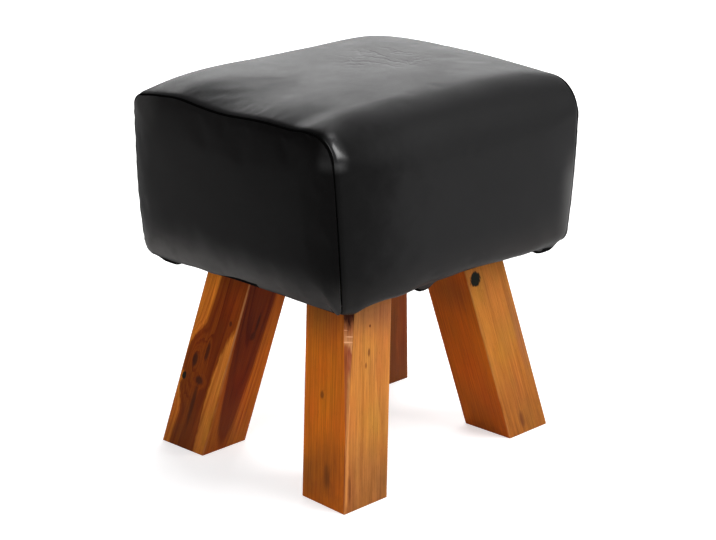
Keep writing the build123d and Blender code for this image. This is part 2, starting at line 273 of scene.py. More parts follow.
# The tint on each leg's front face is painted light: a lighter, greyer painted sheen on the two front legs,
# and painted shade on the back left leg.
legs = {
    "front_left": dict(
        foot=(-0.975, -1.05), pith=(60, 150, 0), lean=(0, 0, 0), ring=4.6, wander=10, heart=(0, 3),
        seed=(310, 40, 0), line=0.16, mottle=0.4,
        sapwood=(0.54, 0.135, 0.008, 1), heartwood=(0.2, 0.06, 0.012, 1),
        front_face_light_tint=(0.86, 1.28, 4.2),
        marks=[((-33, 5, 114), (3, 3, 4), 4, 0.6, 0.5, smudge),
               ((-33, -5, 23), (3, 5, 13), 2, 0.6, 0.8, smudge),
               ((-33, 26, 25), (3, 10, 16), 0, 0.5, 0.9, brown_stain_and_shade),
               ((-33, 6, 40), (3, 26, 26), 0, 0.35, 0.9, brown_stain_and_shade),
               # The two soft brown patches at the top of this leg, under the seat, are painted shade.
               ((-33, 0, 212), (3, 48, 34), 0, 0.7, 0.9, brown_stain_and_shade),
               ((0, -34, 208), (50, 3, 20), 0, 0.45, 0.9, brown_stain_and_shade),
               ((0, -34, 5), (50, 3, 60), 0, 0.22, 0.9, brown_stain_and_shade),
               ((0, -34, 191), (1.6, 2, 1.6), 0, 0.8, 0.4, red_knot),
               ((-0.6, -34, 162), (1.4, 2, 4.5), 0, 0.75, 0.4, red_knot),
               ((-4.7, -34, 148), (1.4, 2, 3.2), 0, 0.6, 0.4, red_knot),
               ((-25, -34, 12), (1.6, 3, 14), 0, 0.6, 0.5, red_knot)]),
    "front_right": dict(
        foot=(1.035, -0.945), pith=(-90, 130, 0), lean=(0, 0, 0), ring=6.0, wander=12, heart=(0, 3),
        seed=(70, 260, 90), line=0.1, mottle=0.4,
        sapwood=(0.42, 0.09, 0.004, 1), heartwood=(0.2, 0.06, 0.012, 1),
        front_face_light_tint=(0.88, 1.42, 5.0),
        marks=[((-19.5, -34, 201.5), (9, 8, 8.5), 8, 1.0, 0.15, black_knot),
               ((-5.6, -34, 12), (4, 3, 10), 2, 0.6, 0.5, red_knot),
               ((26, -34, 110), (6, 3, 50), 0, 0.35, 0.8, brown_stain_and_shade),
               # The soft brown patch at the top of this leg, under the seat, is painted shade.
               ((-33, 0, 190), (3, 26, 22), 0, 0.5, 0.9, brown_stain_and_shade)]),
    "back_left": dict(
        foot=(-1.025, 0.98), pith=(-8, 0, 0), lean=(0, -0.055, 0), ring=4.2, wander=5, heart=(33, 1.0),
        seed=(15, 180, 55), line=0.5, mottle=0.5,
        sapwood=(0.54, 0.16, 0.014, 1), heartwood=(0.19, 0.035, 0.002, 1),
        front_face_light_tint=(0.76, 0.62, 0.6),
        marks=[((-33, 24, 92), (12, 13, 26), -12, 0.0, 0.3, dark_knot),
               ((-33, -34, 50), (4, 19, 104), 0, 0.95, 0.08, amber),
               # The pale line down this leg's near arris is a painted highlight.
               ((-33, -34, 168), (2.0, 1.5, 78), 0, 0.85, 0.4, arris_highlight),
               ((-33, 17, 99), (3, 4, 9), -6, 0.85, 0.4, dark_knot),
               ((-33, 1.5, 115), (3, 2.4, 12), -5, 0.8, 0.4, dark_knot),
               ((-33, 2, 79), (3, 6, 5), -4, 0.8, 0.4, dark_knot),
               ((-33, 3, 48), (3, 2.6, 26), 0, 0.7, 0.5, dark_knot),
               ((-33, 27, 74), (4, 3.2, 5.5), 4, 1.0, 0.1, black_knot),
               ((-33, -22, 161), (3, 2.2, 3.2), 0, 0.7, 0.4, dark_knot),
               ((-1.6, -34, 165), (1.8, 3, 13), 0, 0.7, 0.4, dark_knot),
               ((-4, -34, 149), (4, 3, 5), 0, 0.6, 0.4, dark_knot)]),
    "back_right": dict(
        foot=(0.985, 1.02), pith=(30, 90, 0), lean=(0, 0, 0), ring=5.0, wander=12, heart=(70, 12),
        seed=(210, 10, 400), line=0.3, mottle=0.7,
        # This leg's colours are much darker than the others': partly darker wood, partly painted shade from
        # the seat above it.
        sapwood=(0.16, 0.036, 0.003, 1), heartwood=(0.12, 0.025, 0.003, 1),
        front_face_light_tint=(1.0, 1.0, 1.0),
        marks=[((6, -34, 192), (3, 4, 10), 4, 0.9, 0.4, dark_knot),
               ((-2, -34, 172), (3, 4, 5), 2, 0.5, 0.5, red_knot)]),
}
leg_frames = []
for name, timber in legs.items():
    share_x, share_y = timber["foot"]
    foot = Vector((foot_centre_x * share_x, foot_centre_y * share_y, 0))
    lean_x = -math.copysign(leg_lean_x_share, share_x)
    lean_y = -math.copysign(leg_lean_y_share, share_y)
    along = Vector((lean_x, lean_y, 1)).normalized()
    across = (Vector((1, 0, 0)) - along * along.x).normalized()
    over = along.cross(across)
    leg_frames.append((foot, across, over, along))
    turn = Matrix((across, over, along)).transposed()
    material, place = new_material("oiled_wood_" + name)
    local = add("ShaderNodeMapping",
                {"Vector": place, "Location": foot, "Rotation": turn.to_euler(), "Scale": (0.001,) * 3},
                vector_type="TEXTURE").outputs[0]

    # Stains and painted shade lie in the wood, and the other marks are laid over its figure.
    bend = 0.0
    cores = []
    sapwood = timber["sapwood"]
    heartwood = timber["heartwood"]
    for at, size, push, strength, softness, colour in timber["marks"]:
        mark = use_group(knot_mark, {"Vector": local, "Place": at, "Size": size, "Softness": softness,
                                     "Ragged": raggedness.get(colour, 0.5)})
        bend = plus(bend, times(mark["Halo"], push))
        core = times(mark["Core"], strength)
        if colour in (amber, brown_stain_and_shade):
            sapwood = blend_colours(core, sapwood, colour)
            heartwood = blend_colours(core, heartwood, colour)
        elif strength > 0:
            cores.append((core, colour))
    figure = use_group(timber_figure, {
        "Vector": local, "Pith": timber["pith"], "Pith Lean": timber["lean"],
        "Ring Width": timber["ring"], "Wander": timber["wander"], "Bend": bend,
        "Heart Radius": timber["heart"][0], "Heart Edge": timber["heart"][1], "Seed": timber["seed"],
        "Line Depth": timber["line"], "Mottle": timber["mottle"],
        "Sapwood": sapwood, "Heartwood": heartwood})
    sides = add("ShaderNodeSeparateXYZ", {0: local}).outputs
    # Painted light on the front face, given by its tint.
    front_face = fade(sides[1], 1.5 - half_wide_mm, 0.5 - half_wide_mm)
    face_with_painted_light = spread(figure["Color"], timber["front_face_light_tint"])
    colour = blend_colours(front_face, figure["Color"], face_with_painted_light)
    for core, stain in cores:
        colour = blend_colours(core, colour, stain)

    # The wood is darker towards the foot, in patches.
    foot_darkening = fade(cloudy(local, (0.06, 0.06, 0.03), 4.0, 0.6), 0.3, 0.65, 0.5, 1.0)
    foot_darkening = times(foot_darkening, fade(sides[2], 90, 5, 0.0, 0.42))
    colour = blend_colours(foot_darkening, colour, (0.1, 0.03, 0.009, 1))

    # Along the arrises the wood is paler: partly oil rubbed off, partly a painted highlight.
    to_side, to_front = (
        fade(maths("ABSOLUTE", side), half - arris_wide_mm, half - arris_sharp_mm)
        for side, half in ((sides[0], half_thick_mm), (sides[1], half_wide_mm)))
    rubbed_and_highlit = fade(cloudy(local, (0.2, 0.2, 0.03), 3.0), 0.42, 0.6)
    rubbed_and_highlit = times(rubbed_and_highlit, to_side, to_front, 0.5)
    colour = blend_colours(rubbed_and_highlit, colour, (0.5, 0.19, 0.06, 1))

    # The front left leg has wane on its outer arris, where the log's round side was left, and below
    # it the arris is planed off in a narrow strip. The wane's surface lies inside both faces.
    if name == "front_left":
        torn = cloudy(local, (0.3, 0.3, 0.07), 3.0)
        torn = minus(torn, 0.5)
        in_front = plus(sides[1], half_wide_mm)
        in_side = plus(sides[0], half_thick_mm)
        cut_away = times(fade(in_front, 0.1, 0.6), fade(in_side, 0.1, 0.6),
                         fade(in_front, 20, 17), fade(in_side, 20, 17))
        planed = plus(maths("DIVIDE", in_front, 1.6), maths("DIVIDE", in_side, 4.6), times(torn, 0.8))
        wane = maths("MAXIMUM", cut_away, fade(planed, 1.15, 0.85))
        wane = times(wane, fade(sides[2], -8, 2))
        leftward = maths("DIVIDE", in_front, plus(in_front, in_side, 0.2))
        leftward = plus(leftward, times(torn, 0.5))
        up_share = maths("DIVIDE", sides[2], wane_top_mm)
        up_share = plus(up_share, times(torn, 0.12))
        bark = add("ShaderNodeValToRGB", {0: up_share})
        ramp = bark.color_ramp.elements
        ramp[0].color = (0.55, 0.2, 0.05, 1)
        ramp[1].color = (0.045, 0.011, 0.006, 1)
        ramp[1].position = 0.925
        for position, shade in ((0.62, (0.5, 0.2, 0.06, 1)), (0.7, (0.36, 0.1, 0.04, 1)),
                                (0.76, (0.3, 0.07, 0.03, 1)), (0.79, (0.6, 0.26, 0.1, 1)),
                                (0.875, (0.38, 0.12, 0.04, 1))):
            ramp.new(position).color = shade
        low = fade(sides[2], 176, 168, 0.0, 0.9)
        red_edge = times(fade(leftward, 0.35, 0.6), low)
        grain = blend_colours(red_edge, bark.outputs[0], (0.3, 0.07, 0.02, 1))
        lines = cloudy(local, (0.9, 0.9, 0.02), 3.0)
        grain = scaled(grain, fade(lines, 0.3, 0.7, 0.78, 1.15))
        colour = blend_colours(wane, colour, grain)
        # Light flecks near the top of the wane: scratches, and partly painted highlights.
        for at, size in (((-27, -28, 174), (7, 7, 0.8)), ((-26, -30, 180), (5, 5, 0.6)),
                         ((-29, -26, 187), (3, 3, 0.5))):
            scratch_glint = use_group(knot_mark, {"Vector": local, "Place": at, "Size": size, "Ragged": 0.3,
                                            "Softness": 0.4})
            scratch_glint_mask = times(scratch_glint["Core"], wane)
            colour = blend_colours(scratch_glint_mask, colour, (0.8, 0.4, 0.2, 1))
    surface({"Base Color": colour, "Roughness": figure["Roughness"], "Specular IOR Level": 0.04},
            figure["Height"], 0.0002, 0.35)
    dress(material, "leg_" + name)


# Crate
# The seat is built on a plywood base board with four pine walls, corner blocks and a plywood top.
# The boards are glued and screwed together, and the foam and leather cover all of them.

def sawn_board(name, light, dark, ring, turn):
    """Plain board, with the turn that brings its grain upright."""
    material, place = new_material(name)
    local = add("ShaderNodeMapping", {"Vector": place, "Rotation": turn, "Scale": (1000,) * 3},
                vector_type="POINT").outputs[0]
    figure = use_group(timber_figure, {
        "Vector": local, "Pith": (30, -260, 0), "Ring Width": ring, "Wander": 20.0,
        "Seed": (80, 30, 10), "Line Depth": 0.35, "Sapwood": light, "Heartwood": dark})
    surface({"Base Color": figure["Color"], "Roughness": 0.75}, figure["Height"], 0.0003, 0.4)
    return material


lengthwise = (0, math.pi / 2, 0)
crosswise = (math.pi / 2, 0, 0)
pine = ((0.6, 0.41, 0.21, 1), (0.45, 0.26, 0.12, 1), 4.0)
plywood = sawn_board("plywood", (0.5, 0.33, 0.17, 1), (0.4, 0.24, 0.12, 1), 9.0, lengthwise)
pine_long = sawn_board("pine_lengthwise", *pine, lengthwise)
pine_cross = sawn_board("pine_crosswise", *pine, crosswise)
pine_upright = sawn_board("pine_upright", (0.58, 0.4, 0.2, 1), (0.45, 0.26, 0.12, 1), 4.0, (0, 0, 0))
dress(plywood, "base_board", "top_board")
dress(pine_long, "front_board", "back_board")
dress(pine_cross, "left_end_board", "right_end_board")
dress(pine_upright, *("corner_block_" + name for name in legs))


# Screws, washers and staples
# Zinc plated steel: countersunk screws through the boards, coach screws with washers down into the
# legs, and wire staples that hold the leather and the dust cover under the base board.

material, place = new_material("zinc_plate")
mottle = cloudy(place, (900,) * 3, 3.0)
feed(material.node_tree.nodes["Principled BSDF"].inputs, {
    "Base Color": blend_colours(mottle, (0.5, 0.5, 0.49, 1), (0.68, 0.67, 0.62, 1)),
    "Roughness": fade(mottle, 0.3, 0.7, 0.28, 0.45), "Metallic": 1.0})
dress(material, "base_board_screws", "top_board_screws", "wall_screws", "leg_coach_screws",
      "leg_washers", "cover_staples")


# Foam
# Pads of open-cell foam glued over the crate: one on top, and one on each of the four sides.
# They give the seat its crown, and the leather is pulled tight over them.

foam_cells, place = new_material("foam_cells")
cells = add("ShaderNodeTexVoronoi", {"Vector": place, "Scale": 900.0}).outputs["Distance"]
foam_tint = blend_colours(cells, (0.5, 0.42, 0.24, 1), (0.78, 0.7, 0.45, 1))
surface({"Base Color": foam_tint, "Roughness": 0.95}, cells, 0.0004, 0.6)


def new_object(name, contents):
    """An object in the scene."""
    made = bpy.data.objects.new(name, contents)
    bpy.context.scene.collection.objects.link(made)
    return made


def finished(name, mesh, materials):
    """A smooth piece in the scene that rides on the stool."""
    piece = new_object(name, mesh)
    for material in materials:
        mesh.materials.append(material)
    for face in mesh.polygons:
        face.use_smooth = True
    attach(piece, "root")
    return piece


def apply_modifiers(piece):
    """Fix a piece's modifiers into its mesh."""
    shown = piece.evaluated_get(bpy.context.evaluated_depsgraph_get())
    mesh = bpy.data.meshes.new_from_object(shown)
    piece.modifiers.clear()
    piece.data = mesh


def smooth(value, start, end):
    """0 before start, 1 after end, and smooth between."""
    t = min(max((value - start) / (end - start), 0.0), 1.0)
    return t * t * (3 - 2 * t)


crate = (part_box("base_board")[0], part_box("top_board")[1])
foam_give = 0.009
front_edge_give = 0.008
other_edge_give = 0.004
hem_clearance = 0.009
foam_cell = 0.004
for side in ("top", "left", "right", "front", "back"):
    pad = finished("foam_pad_" + side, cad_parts["foam_" + side].data.copy(), [])
    pad.data.materials.clear()
    pad.data.materials.append(foam_cells)
    pad_cells = pad.modifiers.new("cells", "REMESH")
    pad_cells.mode = "VOXEL"
    pad_cells.voxel_size = foam_cell
    apply_modifiers(pad)
    for vertex in pad.data.vertices:
        on_crate = Vector([min(max(c, low), high) for c, low, high in zip(vertex.co, *crate)])
        out_by = vertex.co - on_crate
        front_edge = smooth(vertex.co.y, -0.08, -0.12) * smooth(vertex.co.z, 0.37, 0.4)
        low_edge = smooth(vertex.co.z, 0.25, 0.235)
        by_seam = smooth(abs(vertex.co.x), 0.15, 0.175)
        give = foam_give + front_edge_give * front_edge + other_edge_give * max(low_edge, by_seam)
        if out_by.length > 0:
            vertex.co = on_crate + out_by * max(1 - give / max(out_by.length, 2 * give), 0)
            vertex.co.z += hem_clearance * smooth(vertex.co.z, 0.245, 0.23)
    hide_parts("foam_" + side)


# Leather cover, band
# One piece of smooth black leather over the front, top and back of the seat. Its front and back
# edges turn under the base board, and its ends are sewn to the end panels with a welt between.

seat_bottom = 0.229
seat_length = (0.1805, 0.105, -0.14)
seat_half_depth = 0.1605
seat_height = 0.192
side_swell = 0.004
side_bow = 0.0027
shoulder_rise = 0.0084
end_crown = 0.0064
middle_crown = 0.012
crown_power = 3.2
top_radius = 0.027
far_corner_radius = 0.038
middle_radius = 0.053
back_end_radius = 0.015
back_middle_radius = 0.028
bottom_radius = 0.016
right_back_lowered = 0.0013
end_flatness = 5
quarter_arc = 0.5523
corner_pull = 0.0016
corner_hang = 0.0045
corner_hang_reach = 0.02
leather = 0.002
welt_width = 0.003
return_width = 0.04
outline_counts = {"under": 8, "low": 9, "side": 34, "top": 14, "crown": 34}


def bell(value, centre, width):
    """A smooth hump of height 1."""
    return math.exp(-((value - centre) / width) ** 2)


def risen(value, parts):
    """Sum of smooth forms at a place: each part is a height, its form, and the form's two numbers."""
    return sum(height * form(value, first, second) for height, form, first, second in parts)


# How far the end seams and the lower edges leave a plain arc or line, by places along them.
right_foam_lift = ((0.0022, smooth, -0.07, 0.01),)
right_seam_lift = ((0.0016, smooth, 0.0, 0.13), (-0.0015, smooth, -0.04, -0.11))
left_seam_lift = ((0.0032, smooth, -0.095, -0.125), (-0.0038, bell, 0.008, 0.045),
                  (0.0018, bell, 0.082, 0.022), (-0.0014, smooth, 0.12, 0.146))
front_hem_lift = ((0.003, smooth, 0.168, 0.188), (-0.003, bell, -0.16, 0.012))
front_hem_least = 0.0015
front_hem_middle = 0.0035
front_hem_ripple = 0.0006
left_hem_lift = ((0.006, smooth, 0.05, -0.01), (0.0035, bell, -0.064, 0.014),
                 (0.005, smooth, -0.105, -0.135), (-0.001, smooth, 0.05, 0.1))
left_hem_ripple = 0.0005


def seam_wave(side, y):
    """How far an end's top seam rises or sags: the foam lifts the right one, and the left one was sewn so."""
    return risen(y, right_foam_lift + right_seam_lift if side > 0 else left_seam_lift)


def half_outline(share, side, under):
    """Points (distance from the middle, height) from under the seat up one side to the middle of the top."""
    filled = 1 - abs(share) ** end_flatness
    half = seat_half_depth + side_swell * filled
    high = seat_height + shoulder_rise * filled
    crown = end_crown + (middle_crown - end_crown) * filled
    if side < 0:
        radius = top_radius + (far_corner_radius - top_radius) * smooth(share, 0.0, 1.0)
        radius += (middle_radius - radius) * smooth(filled, 0.0, 0.9)
    else:
        radius = back_end_radius + (back_middle_radius - back_end_radius) * smooth(filled, 0.0, 0.9)
        lowered = right_back_lowered * smooth(share, 0.1, 0.8)
        high -= lowered
        crown += lowered

    def bowed(h):
        return half + side_bow * (1 - (2 * h / high - 1) ** 2)

    def crowned(a):
        return high + crown * (1 - (a / half) ** crown_power)

    def rounded(start, corner_point, end, count):
        first = start.lerp(corner_point, quarter_arc)
        second = end.lerp(corner_point, quarter_arc)
        points = []
        for i in range(1, count):
            t = i / count
            points.append(start * (1 - t) ** 3 + first * 3 * t * (1 - t) ** 2
                          + second * 3 * t * t * (1 - t) + end * t ** 3)
        return points

    counts = outline_counts
    flat_end = half - bottom_radius
    points = [Vector((under + (flat_end - under) * i / counts["under"], 0))
              for i in range(counts["under"] + 1)]
    side_low = Vector((bowed(bottom_radius), bottom_radius))
    points += rounded(points[-1], Vector((half + side_bow * 0.1, 0)), side_low, counts["low"])
    side_high = high - radius
    for i in range(counts["side"] + 1):
        h = bottom_radius + (side_high - bottom_radius) * i / counts["side"]
        points.append(Vector((bowed(h), h)))
    top_start = Vector((half - radius, crowned(half - radius)))
    slope_side = -side_bow * 4 * (2 * side_high / high - 1) / high
    slope_top = -crown_power * crown * (top_start.x / half) ** (crown_power - 1) / half
    meet = Vector((bowed(side_high) + slope_side * radius, top_start.y + slope_top * radius))
    points += rounded(points[-1], meet, top_start, counts["top"])
    for i in range(counts["crown"] + 1):
        a = top_start.x * (1 - i / counts["crown"])
        points.append(Vector((a, crowned(a))))
    return points


def seat_outline(share, under=None):
    """Whole outline across the seat as (y, height), from under the front to under the back."""
    reach = seat_half_depth - return_width if under is None else under
    front = half_outline(share, -1, reach)
    back = half_outline(share, 1, reach)
    return [Vector((-p.x, p.y)) for p in front] + [p.copy() for p in reversed(back[:-1])]


def outline_normals(points):
    """Outward direction at each point of an outline that runs from the front to the back."""
    normals = []
    for i, point in enumerate(points):
        before = points[max(i - 1, 0)]
        after = points[min(i + 1, len(points) - 1)]
        step = (after - before).normalized()
        normals.append(Vector((-step.y, step.x)))
    return normals


def seam_x(height):
    """How far an end seam lies from the middle of the seat, at a height above the seat's bottom."""
    h = max(height, 0.0)
    return seat_length[0] + seat_length[1] * h + seat_length[2] * h * h


def pulled_in(x, y, height):
    """How far the far left corner is drawn in by its tight seam, as a share of its whole pull."""
    return smooth(x, -0.12, -0.19) * smooth(y, 0.06, 0.16) * smooth(height, 0.06, 0.15)


def top_seam_share(height):
    """1 along the top seam, and 0 below it."""
    return smooth(height, 0.15, 0.185)


def hem_share(height):
    """1 at the lower edge of the seat, and 0 well above it."""
    return 1 - smooth(height, 0.0, 0.05)


def hem_front(x, height):
    """How far the front's lower edge is drawn up where the leather was pulled tighter."""
    middle = front_hem_middle * smooth(x, -0.1, -0.04) * smooth(x, 0.085, 0.045)
    drawn = front_hem_least + middle + risen(x, front_hem_lift) + front_hem_ripple * math.sin(x * 95)
    return drawn * hem_share(height)


def hem_left(y, height):
    """How far the left end's lower edge is drawn up, away from the near corner."""
    drawn = risen(y, left_hem_lift) + left_hem_ripple * math.sin(y * 110)
    return drawn * hem_share(height) * smooth(y, -0.16, -0.136)


def corner_drop(x, y, height):
    """How far the near corner hangs below the rest of the lower edge."""
    away = math.hypot(x + seat_length[0], y + seat_half_depth)
    return corner_hang * math.exp(-(away / corner_hang_reach) ** 1.5) * hem_share(height)


# Folds of the turned-in leather: the place along the edge, half the width and the depth of each. They
# hang down just inside the edge, at an inset and over half a width across it.
front_folds = ((-0.043, 0.013, 0.0082), (0.158, 0.019, 0.009))
left_folds = ((0.124, 0.019, 0.0085),)
front_fold_inset = (0.0145, 0.0055)
left_fold_inset = (0.008, 0.006)


def folds(value, places):
    """How far the turned-in leather hangs down in folds at a place along the edge."""
    return sum(depth * math.exp(-((value - centre) / width) ** 4) for centre, width, depth in places)


def surface_noise(point, size, seed):
    """Smooth random value between -1 and 1 at a scale in metres."""
    return noise.noise(Vector((point[0] / size + seed, point[1] / size - seed, point[2] / size)))


def mesh_from(name, points, faces):
    """A mesh of points and faces, with its faces all turned outward."""
    mesh = bpy.data.meshes.new(name)
    mesh.from_pydata([tuple(p) for p in points], [], faces)
    work = bmesh.new()
    work.from_mesh(mesh)
    bmesh.ops.remove_doubles(work, verts=work.verts, dist=0.00002)
    bmesh.ops.recalc_face_normals(work, faces=work.faces)
    work.to_mesh(mesh)
    work.free()
    return mesh


def cracks(vector):
    """Distance from the lines between random cells, one unit across."""
    values = {"Vector": vector, "Scale": 1.0}
    return add("ShaderNodeTexVoronoi", values, feature="DISTANCE_TO_EDGE").outputs["Distance"]


def region(where, *limits):
    """1 where each listed axis is past the end of its fade, and 0 before any one's start."""
    return times(*(fade(where[axis], start, end) for axis, start, end in limits))


# Smooth leather: fine pores, a little creasing and softly changing gloss.
tree, given, out = new_group(
    "leather_grain", {"Vector": nowhere, "Pore Size": 0.9, "Wear": 0.5}, ("Height", "Gloss", "Tone"))
close_up = scaled(given["Vector"], maths("DIVIDE", 1000.0, given["Pore Size"]))
warped = shift(close_up, cloudy(close_up, (0.4,) * 3, output="Color"))
pebble = fade(cracks(warped), 0.0, 0.25)
fine = cloudy(close_up, (2.3,) * 3)
broad = cloudy(given["Vector"], (22,) * 3, 4.0, 0.6)
patch = cloudy(given["Vector"], (75,) * 3, 3.0, 0.6)
height = plus(times(pebble, 0.6), times(fine, 0.4))
gloss = plus(fade(broad, 0.3, 0.7, 0.0, 0.7), fade(patch, 0.3, 0.7, 0.0, 0.3))
worn = times(gloss, given["Wear"])
leather_grain = close_group(tree, out, Height=height, Gloss=worn, Tone=gloss)

# Masks, with their places in metres in the stool's frame: painted light and shade across the leather, a lower
# band that is partly scuffing and partly a painted reflection of the floor, painted light at two corners, and
# where the leather is polished and creased.
tree, given, out = new_group(
    "leather_wear", {"Vector": nowhere, "Tone": 0.5, "Lit From": -0.19},
    ("Faded", "Scuffed", "Far Corner", "Low Corner", "Polished", "Creased"))
where = add("ShaderNodeSeparateXYZ", {0: given["Vector"]}).outputs
cloudiness = cloudy(given["Vector"], (30,) * 3, 3.0, 0.6)

# Painted light and shade: the leather is darkest at the near corner and lighter away from it, with a little
# random tone.
toward_far_corner = plus(where[0], where[1])
tone = times(given["Tone"], 0.05)
lit_share = fade(plus(toward_far_corner, tone), -0.31, given["Lit From"])
# A lighter band along the lower edge: partly scuffing, partly a painted reflection of the floor. It stops
# short of the very bottom, and the dark line left there is painted shade.
low = fade(where[2], 0.295, 0.236)
scuff_and_reflection = times(low, low, fade(cloudiness, 0.25, 0.6, 0.6, 1.0),
                fade(toward_far_corner, -0.33, -0.05, 0.4, 1.0), fade(where[2], 0.2295, 0.2345, 0.1, 1.0))
# A painted light patch at the far left top corner.
far_corner_light = region(where, (1, 0.1, 0.15), (2, 0.37, 0.405), (0, -0.186, -0.194))
# A painted sheen low on the front beside the right seam.
right_seam_sheen = region(where, (0, 0.15, 0.187), (2, 0.37, 0.3), (1, -0.13, -0.155))
right_seam_sheen = times(right_seam_sheen, right_seam_sheen)

# Hands have polished the leather at the near top corner.
polished = region(where, (1, -0.14, -0.152), (0, -0.17, -0.187), (2, 0.386, 0.4))
polished = times(polished, fade(cloudiness, 0.35, 0.6, 0.75, 1.0))

# Sitting has creased the middle of the top: short fine folds running into one another.
sat_on = length(shift(given["Vector"], (-0.052, -0.014, -0.437)))
warp = cloudy(given["Vector"], (26,) * 3, 3.0, output="Color")
bent = shift(spread(given["Vector"], (48, 17, 17)), scaled(warp, 2.6))
creased = times(fade(cracks(bent), 0.0, 0.12, 1.0, 0.0), fade(cloudiness, 0.37, 0.53),
                fade(sat_on, 0.075, 0.02))
leather_wear = close_group(tree, out, Faded=lit_share, Scuffed=scuff_and_reflection, Far_Corner=far_corner_light,
                           Low_Corner=right_seam_sheen, Polished=polished, Creased=creased)
crease_depth = 11.0


def black_leather(name, dull, shade_colour, lit_colour, lit_from, scuff_and_reflection_colour, polish):
    """Material of one cut of the black leather, with its own colours, painted light and shade, dullness and
    polish.
    """
    material, place = new_material(name)
    grain = use_group(leather_grain, {"Vector": place, "Pore Size": 0.9, "Wear": 0.06})
    wear = use_group(leather_wear, {"Vector": place, "Tone": grain["Tone"], "Lit From": lit_from})
    # Painted light: the shade colour at the near corner, and the lit colour away from it.
    colour = blend_colours(wear["Faded"], (*shade_colour, 1), (*lit_colour, 1))
    # Over it go the lower band of scuffing and painted floor reflection, and the painted light at two
    # corners.
    for mask, shade in (("Scuffed", scuff_and_reflection_colour), ("Far Corner", (0.034, 0.033, 0.032)),
                        ("Low Corner", (0.075, 0.073, 0.072))):
        colour = blend_colours(wear[mask], colour, (*shade, 1))
    height = minus(grain["Height"], times(wear["Creased"], crease_depth))
    surface({"Base Color": colour, "Roughness": plus(dull, grain["Gloss"]), "Specular IOR Level": 0.05,
             "Coat Weight": times(wear["Polished"], polish), "Coat Roughness": 0.25}, height, 0.00012, 0.45)
    return material


# Each cut has a painted-shade colour at the near corner, a painted-light colour away from it, where that
# colour is full, and its lower band's colour.
cover_leather = black_leather("black_leather", 0.46, (0.0016, 0.0016, 0.0016),
                              (0.0115, 0.0114, 0.0116), -0.19, (0.024, 0.022, 0.021), 1.0)
end_leather = black_leather("black_leather_ends", 0.48, (0.0008, 0.0006, 0.0006),
                            (0.0078, 0.0074, 0.0072), -0.02, (0.085, 0.081, 0.078), 0.3)

# The welts and the turned-in edges show the dull flesh side of the leather.
edge_leather, place = new_material("black_leather_flesh")
nap = cloudy(place, (600,) * 3, 3.0, 0.7)
nap_tint = blend_colours(nap, (0.0008, 0.0008, 0.0008, 1), (0.0026, 0.0025, 0.0024, 1))
surface({"Base Color": nap_tint, "Roughness": 0.9, "Specular IOR Level": 0.01}, nap, 0.0002, 0.5)

settle_steps = 20


def settle(piece, firmness, growth, cap):
    """Let a leather piece settle as cloth: held fast where firmness is 1, and only loosely elsewhere.

    It grows by a share of its size, and no point moves further than the cap in metres.
    """
    held = piece.vertex_groups.new(name="held")
    for index, weight in enumerate(firmness):
        held.add([index], weight, "REPLACE")
    start = [vertex.co.copy() for vertex in piece.data.vertices]
    cloth = piece.modifiers.new("settle", "CLOTH")
    for setting, value in (
            ("quality", 6), ("mass", 0.3), ("tension_stiffness", 60), ("compression_stiffness", 60),
            ("shear_stiffness", 30), ("bending_stiffness", 4.0), ("vertex_group_mass", "held"),
            ("pin_stiffness", 1.0), ("shrink_min", -growth), ("use_pressure", True),
            ("uniform_pressure_force", 0.5)):
        setattr(cloth.settings, setting, value)
    cloth.settings.effector_weights.gravity = 0.0
    cloth.point_cache.frame_start = 1
    cloth.point_cache.frame_end = settle_steps
    for step in range(1, settle_steps + 1):
        bpy.context.scene.frame_set(step)
    shown = piece.evaluated_get(bpy.context.evaluated_depsgraph_get())
    moved = [vertex.co.copy() for vertex in shown.data.vertices]
    piece.modifiers.remove(cloth)
    piece.vertex_groups.clear()
    bpy.context.scene.frame_set(1)
    for vertex, before, after in zip(piece.data.vertices, start, moved):
        step = after - before
        if step.length > cap:
            step *= cap / step.length
        vertex.co = before + step


def thicken(piece, thickness, rounding=0):
    """Give a sheet its thickness, inward, after rounding it by some levels."""
    if rounding:
        rounder = piece.modifiers.new("rounder", "SUBSURF")
        rounder.levels = rounding
        rounder.render_levels = rounding
    skin = piece.modifiers.new("thickness", "SOLIDIFY")
    skin.thickness = thickness
    skin.offset = -1.0
    apply_modifiers(piece)


